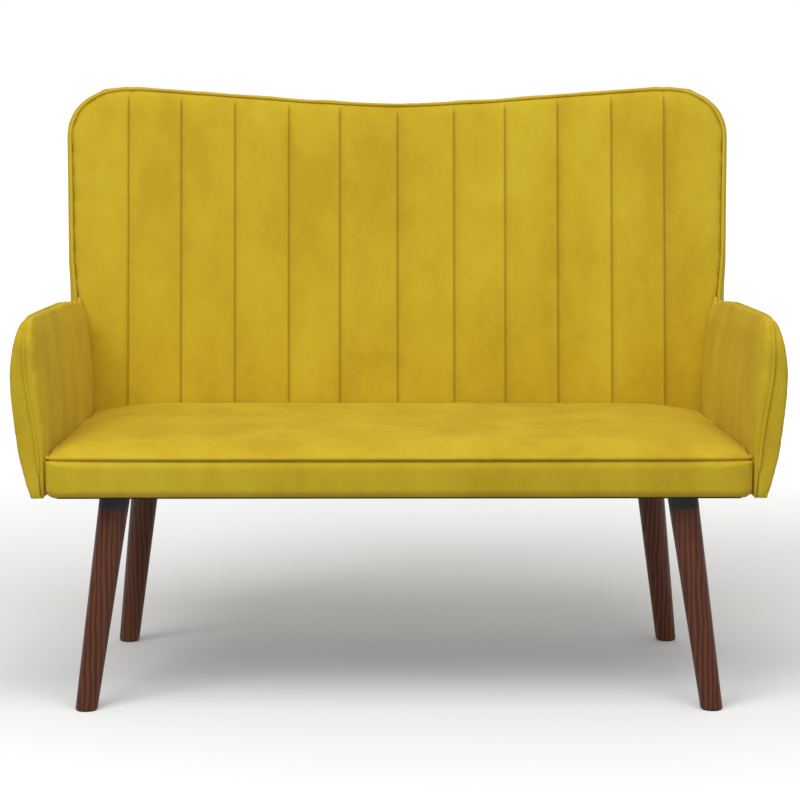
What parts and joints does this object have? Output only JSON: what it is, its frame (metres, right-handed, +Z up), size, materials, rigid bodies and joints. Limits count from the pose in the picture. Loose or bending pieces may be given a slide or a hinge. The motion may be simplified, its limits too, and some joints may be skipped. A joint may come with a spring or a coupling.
{
  "type": "two-seat settee",
  "caption": "High-back upholstered settee with vertically channelled back, thin flared arms, piped edges and splayed tapered wooden legs.",
  "frame": {"origin": "on the floor, under the middle of the settee's width and depth", "axes": "+Z up, +X to the right of someone standing in front, -Y the way the settee faces"},
  "size_m": [1.2798, 0.7064, 1.0153],
  "materials": {
    "velvet": "mustard yellow short-pile velvet with a soft sheen",
    "foam": "matte open-cell upholstery foam",
    "frame_timber": "planed pine, unfinished",
    "plywood": "bent birch plywood, unfinished",
    "hardboard": "brown fibreboard",
    "leg_walnut": "walnut-stained turned wood, satin lacquer",
    "black_steel": "black powder coat",
    "glide_plastic": "matte black",
    "zinc_steel": "bright zinc plate",
    "webbing": "woven elastic webbing",
    "felt": "needle-punched felt",
    "dust_cloth": "black spun-bonded cloth"
  },
  "bodies": {
    "root": {"back_front_cover": "velvet", "back_side_cover": "velvet", "back_rear_cover": "velvet", "back_front_welt": "velvet", "back_rear_welt": "velvet", "seat_top_cover": "velvet", "seat_apron_cover": "velvet", "seat_welt": "velvet", "left_arm_inner_cover": "velvet", "left_arm_outer_cover": "velvet", "left_arm_welt": "velvet", "right_arm_inner_cover": "velvet", "right_arm_outer_cover": "velvet", "right_arm_welt": "velvet", "seat_foam": "foam", "seat_apron_foam": "foam", "back_foam": "foam", "back_edge_foam": "foam", "left_arm_inner_foam": "foam", "left_arm_outer_foam": "foam", "right_arm_inner_foam": "foam", "right_arm_outer_foam": "foam", "seat_front_rail": "frame_timber", "seat_rear_rail": "frame_timber", "left_side_rail": "frame_timber", "right_side_rail": "frame_timber", "seat_centre_rail": "frame_timber", "front_corner_blocks": "frame_timber", "rear_corner_blocks": "frame_timber", "back_top_rail": "frame_timber", "back_bottom_rail": "frame_timber", "left_back_post": "frame_timber", "right_back_post": "frame_timber", "left_back_inner_post": "frame_timber", "right_back_inner_post": "frame_timber", "left_arm_batten": "frame_timber", "right_arm_batten": "frame_timber", "left_arm_board": "plywood", "right_arm_board": "plywood", "back_rear_board": "hardboard", "leg_front_left": "leg_walnut", "leg_front_right": "leg_walnut", "leg_rear_left": "leg_walnut", "leg_rear_right": "leg_walnut", "leg_bracket_front_left": "black_steel", "leg_bracket_front_right": "black_steel", "leg_bracket_rear_left": "black_steel", "leg_bracket_rear_right": "black_steel", "leg_glide_front_left": "glide_plastic", "leg_glide_front_right": "glide_plastic", "leg_glide_rear_left": "glide_plastic", "leg_glide_rear_right": "glide_plastic", "hanger_bolts": "zinc_steel", "bracket_screws": "zinc_steel", "frame_bolts": "zinc_steel", "tee_nuts": "zinc_steel", "seat_webbing": "webbing", "back_webbing": "webbing", "seat_felt": "felt", "dust_cover": "dust_cloth"}
  },
  "joints": []
}
